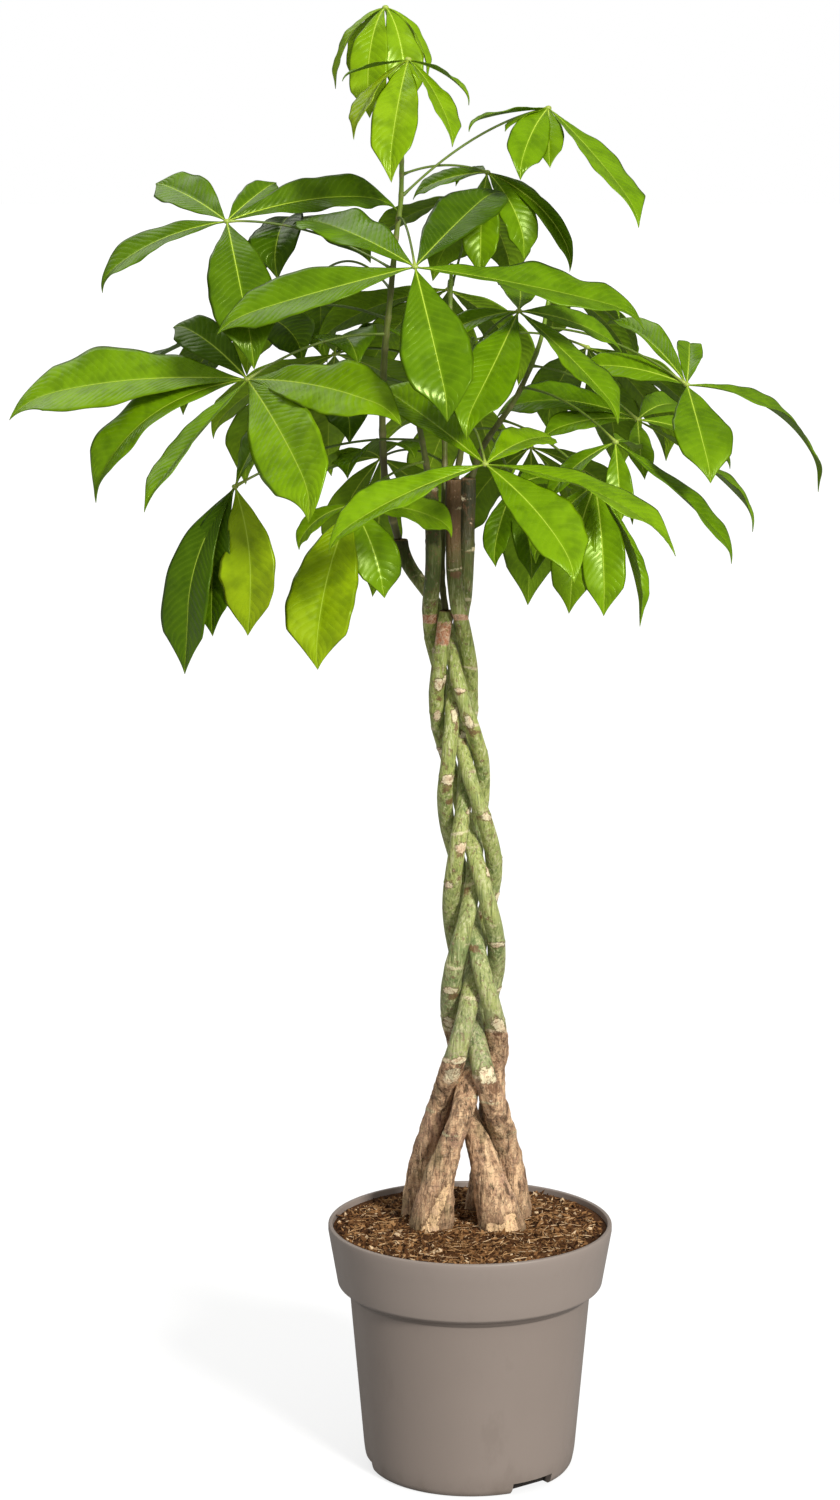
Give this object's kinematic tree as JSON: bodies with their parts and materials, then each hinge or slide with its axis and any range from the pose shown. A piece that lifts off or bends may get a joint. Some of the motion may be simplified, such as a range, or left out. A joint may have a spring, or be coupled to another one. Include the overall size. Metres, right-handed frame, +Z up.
{
  "type": "potted money tree",
  "caption": "Tall house plant with braided stems and an open crown of hand-shaped drooping leaves, in a round tapered nursery pot with a banded rim.",
  "frame": {"origin": "centre of the pot's foot, on the surface that it stands on", "axes": "+Z up along the plant's height; -Y is the front of the plant, +X is its right-hand side as seen from the front"},
  "size_m": [0.7538, 0.6606, 1.377],
  "materials": {
    "pot": "satin",
    "soil": "rough",
    "bark": "matte",
    "shoot": "satin",
    "leaf": "satin"
  },
  "bodies": {
    "root": {"pot": "pot", "soil": "soil", "trunk_left_outer": "bark", "trunk_left_inner": "bark", "trunk_right_inner": "bark", "trunk_right_outer": "bark", "trunk_back": "bark", "shoot_leader": "shoot", "shoot_left": "shoot", "shoot_front": "shoot", "shoot_right": "shoot", "shoot_back": "shoot", "leaf_top_young": "leaf", "leaf_top_front": "leaf", "leaf_top_right": "leaf", "leaf_upper_left": "leaf", "leaf_front_high": "leaf", "leaf_left_long": "leaf", "leaf_left_hanging": "leaf", "leaf_front_low": "leaf", "leaf_right_long": "leaf", "leaf_front_middle": "leaf", "leaf_upper_right": "leaf", "leaf_left_low": "leaf", "leaf_right_low": "leaf", "leaf_right_behind": "leaf", "leaf_right_under": "leaf", "leaf_centre_under": "leaf", "leaf_centre_left": "leaf", "leaf_left_behind": "leaf", "leaf_upper_left_behind": "leaf", "leaf_back_left": "leaf", "leaf_back_middle": "leaf", "leaf_back_right": "leaf", "leaf_back_high": "leaf", "leaf_back_low_left": "leaf", "leaf_back_low_right": "leaf", "leaf_back_far": "leaf", "leaf_back_left_high": "leaf", "leaf_back_right_high": "leaf"}
  },
  "joints": []
}
